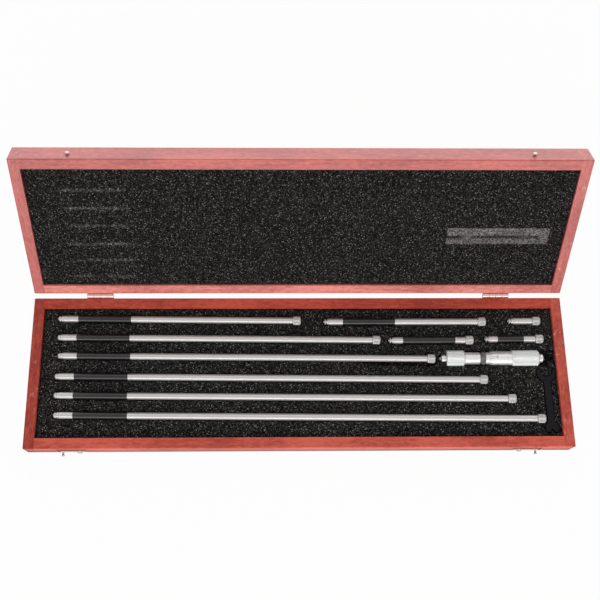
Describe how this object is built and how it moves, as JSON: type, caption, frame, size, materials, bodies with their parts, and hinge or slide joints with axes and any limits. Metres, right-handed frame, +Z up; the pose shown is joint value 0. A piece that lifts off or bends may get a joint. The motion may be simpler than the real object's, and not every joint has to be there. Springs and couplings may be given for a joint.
{
  "type": "inside micrometer",
  "caption": "Inside micrometer with a screw head, extension rods and a wrench, lying in the fitted foam of a hinged wooden case.",
  "frame": {"origin": "centre of the underside of the case base", "axes": "+X to the right along the case, +Y from the front with the hooks to the back with the hinges, +Z up; the lid stands open at rest"},
  "size_m": [0.5144, 0.2554, 0.1443],
  "materials": {
    "mahogany_base": "stained, satin, fine grain",
    "mahogany_lid": "stained, satin, fine grain",
    "panel_wood": "stained plywood, satin",
    "black_foam": "black foam with fine grey flecks",
    "satin_steel": "satin ground steel",
    "knurled_chrome": "satin chrome, knurled",
    "satin_chrome": "satin chrome",
    "blued_steel": "dark knurled steel",
    "black_oxide": "black finish, semi-matt",
    "grip_plastic": "black insulating sleeve, semi-gloss",
    "nickel": "nickel-plated, small parts",
    "hinge_metal": "nickel-plated hinge"
  },
  "bodies": {
    "case_base": {"adjusting_nut": "satin_chrome", "base_back_rail": "mahogany_base", "base_bottom_panel": "panel_wood", "base_foam": "black_foam", "base_front_rail": "mahogany_base", "base_left_rail": "mahogany_base", "base_right_rail": "mahogany_base", "graduated_sleeve": "satin_chrome", "head_body": "knurled_chrome", "head_contact_stud": "satin_steel", "hinge_pins": "hinge_metal", "hinge_screws_base": "nickel", "hook_pivot_screws": "nickel", "left_hinge_base_leaf": "hinge_metal", "right_hinge_base_leaf": "hinge_metal", "rod_01_in_collar": "knurled_chrome", "rod_01_in_tube": "satin_steel", "rod_02_in_collar": "knurled_chrome", "rod_02_in_grip": "grip_plastic", "rod_02_in_tube": "satin_steel", "rod_03_in_collar": "knurled_chrome", "rod_03_in_grip": "grip_plastic", "rod_03_in_tube": "satin_steel", "rod_06_in_collar": "knurled_chrome", "rod_06_in_grip": "grip_plastic", "rod_06_in_tube": "satin_steel", "rod_09_in_collar": "knurled_chrome", "rod_09_in_grip": "grip_plastic", "rod_09_in_tube": "satin_steel", "rod_12_in_collar": "knurled_chrome", "rod_12_in_grip": "grip_plastic", "rod_12_in_tube": "satin_steel", "rod_14_in_collar": "knurled_chrome", "rod_14_in_grip": "grip_plastic", "rod_14_in_tube": "satin_steel", "rod_16_in_collar": "knurled_chrome", "rod_16_in_grip": "grip_plastic", "rod_16_in_tube": "satin_steel", "rod_17_in_collar": "knurled_chrome", "rod_17_in_grip": "grip_plastic", "rod_17_in_tube": "satin_steel", "rod_18_in_collar": "knurled_chrome", "rod_18_in_grip": "grip_plastic", "rod_18_in_tube": "satin_steel", "wrench": "black_oxide"},
    "lid": {"hinge_screws_lid": "nickel", "left_hinge_lid_leaf": "hinge_metal", "lid_back_rail": "mahogany_lid", "lid_catch_pins": "nickel", "lid_foam": "black_foam", "lid_front_rail": "mahogany_lid", "lid_left_rail": "mahogany_lid", "lid_right_rail": "mahogany_lid", "lid_top_panel": "panel_wood", "right_hinge_lid_leaf": "hinge_metal"},
    "left_hook": {"left_hook": "nickel"},
    "right_hook": {"right_hook": "nickel"},
    "lock_ring": {"lock_ring": "blued_steel"},
    "spindle": {"spindle": "satin_steel"},
    "thimble": {"thimble": "knurled_chrome"}
  },
  "joints": [
    {"name": "lid_hinge", "type": "hinge", "parent": "case_base", "child": "lid", "pos_m": [0, 0.0759, 0.02005], "axis": [1, 0, 0], "range_deg": [0, 123.5]},
    {"name": "left_hook_swing", "type": "hinge", "parent": "case_base", "child": "left_hook", "pos_m": [-0.20601, -0.0735, 0.01], "axis": [0, 1, 0], "range_deg": [0, 90]},
    {"name": "right_hook_swing", "type": "hinge", "parent": "case_base", "child": "right_hook", "pos_m": [0.20601, -0.0735, 0.01], "axis": [0, -1, 0], "range_deg": [0, 90]},
    {"name": "lock_ring_turn", "type": "hinge", "parent": "case_base", "child": "lock_ring", "pos_m": [0.17744, 0.0132, 0.0145], "axis": [1, 0, 0], "range_deg": [0, 60]},
    {"name": "spindle_travel", "type": "slide", "parent": "case_base", "child": "spindle", "axis": [1, 0, 0], "range_m": [0, 0.00952]},
    {"name": "thimble_turn", "type": "hinge", "parent": "spindle", "child": "thimble", "pos_m": [0.22464, 0.0132, 0.0145], "axis": [1, 0, 0], "range_deg": [0, 5400]}
  ],
  "couplings": [
    {"joint": "thimble_turn", "follows": "spindle_travel", "rad_per_m": 9894.8}
  ]
}
